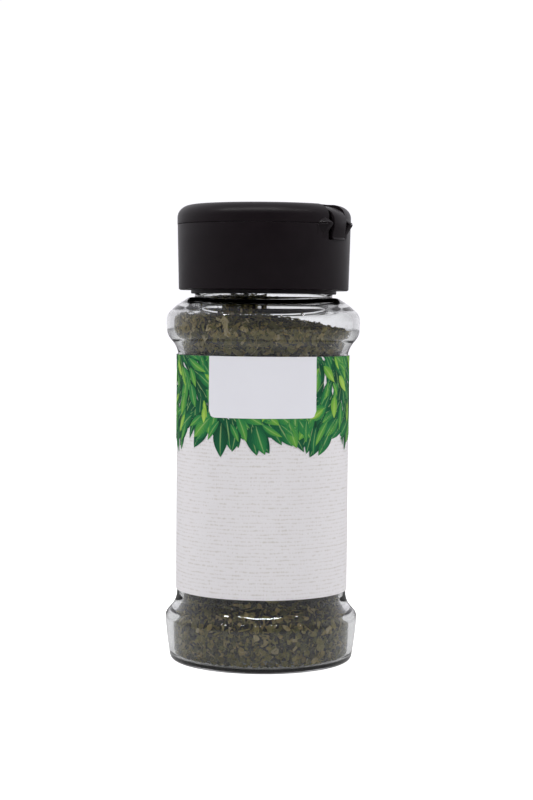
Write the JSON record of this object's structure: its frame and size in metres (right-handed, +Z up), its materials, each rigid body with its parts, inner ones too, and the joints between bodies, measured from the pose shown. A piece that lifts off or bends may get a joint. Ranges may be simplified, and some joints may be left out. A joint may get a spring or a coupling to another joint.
{
  "type": "spice jar",
  "caption": "Waisted glass spice jar with a wrapped paper label, filled with dried parsley flakes and closed by a screw cap whose hinged lid flips up over a sifter.",
  "frame": {"origin": "middle of the jar's base, on the surface that it stands on", "axes": "+Z up along the jar's axis; the middle of the label faces -Y; the lid's hinge is on the right-hand side, 56 degrees round from -Y towards +X"},
  "size_m": [0.0462, 0.0462, 0.1091],
  "materials": {
    "clear_glass": "polished",
    "label_paper": "matte",
    "dried_parsley": "matte",
    "seal_foam": "matte",
    "black_plastic": "satin"
  },
  "bodies": {
    "jar": {"jar": "clear_glass", "label": "label_paper", "parsley_fill": "dried_parsley"},
    "seal": {"sealing_ring": "seal_foam"},
    "cap": {"cap_base": "black_plastic", "hinge_strap": "black_plastic"},
    "lid": {"lid": "black_plastic"}
  },
  "joints": [
    {"name": "cap_rise", "type": "slide", "parent": "jar", "child": "seal", "axis": [0, 0, 1], "range_m": [0, 0.0038]},
    {"name": "cap_turn", "type": "hinge", "parent": "seal", "child": "cap", "pos_m": [0, 0, 0.095], "axis": [0, 0, 1], "range_deg": [0, 450]},
    {"name": "lid_hinge", "type": "hinge", "parent": "cap", "child": "lid", "pos_m": [0.01813, -0.0121, 0.10405], "axis": [0.5549, 0.8319, 0], "range_deg": [0, 150], "deforming": ["hinge_strap"]}
  ],
  "couplings": [
    {"joint": "cap_rise", "follows": "cap_turn", "m_per_rad": 0.00047746}
  ]
}
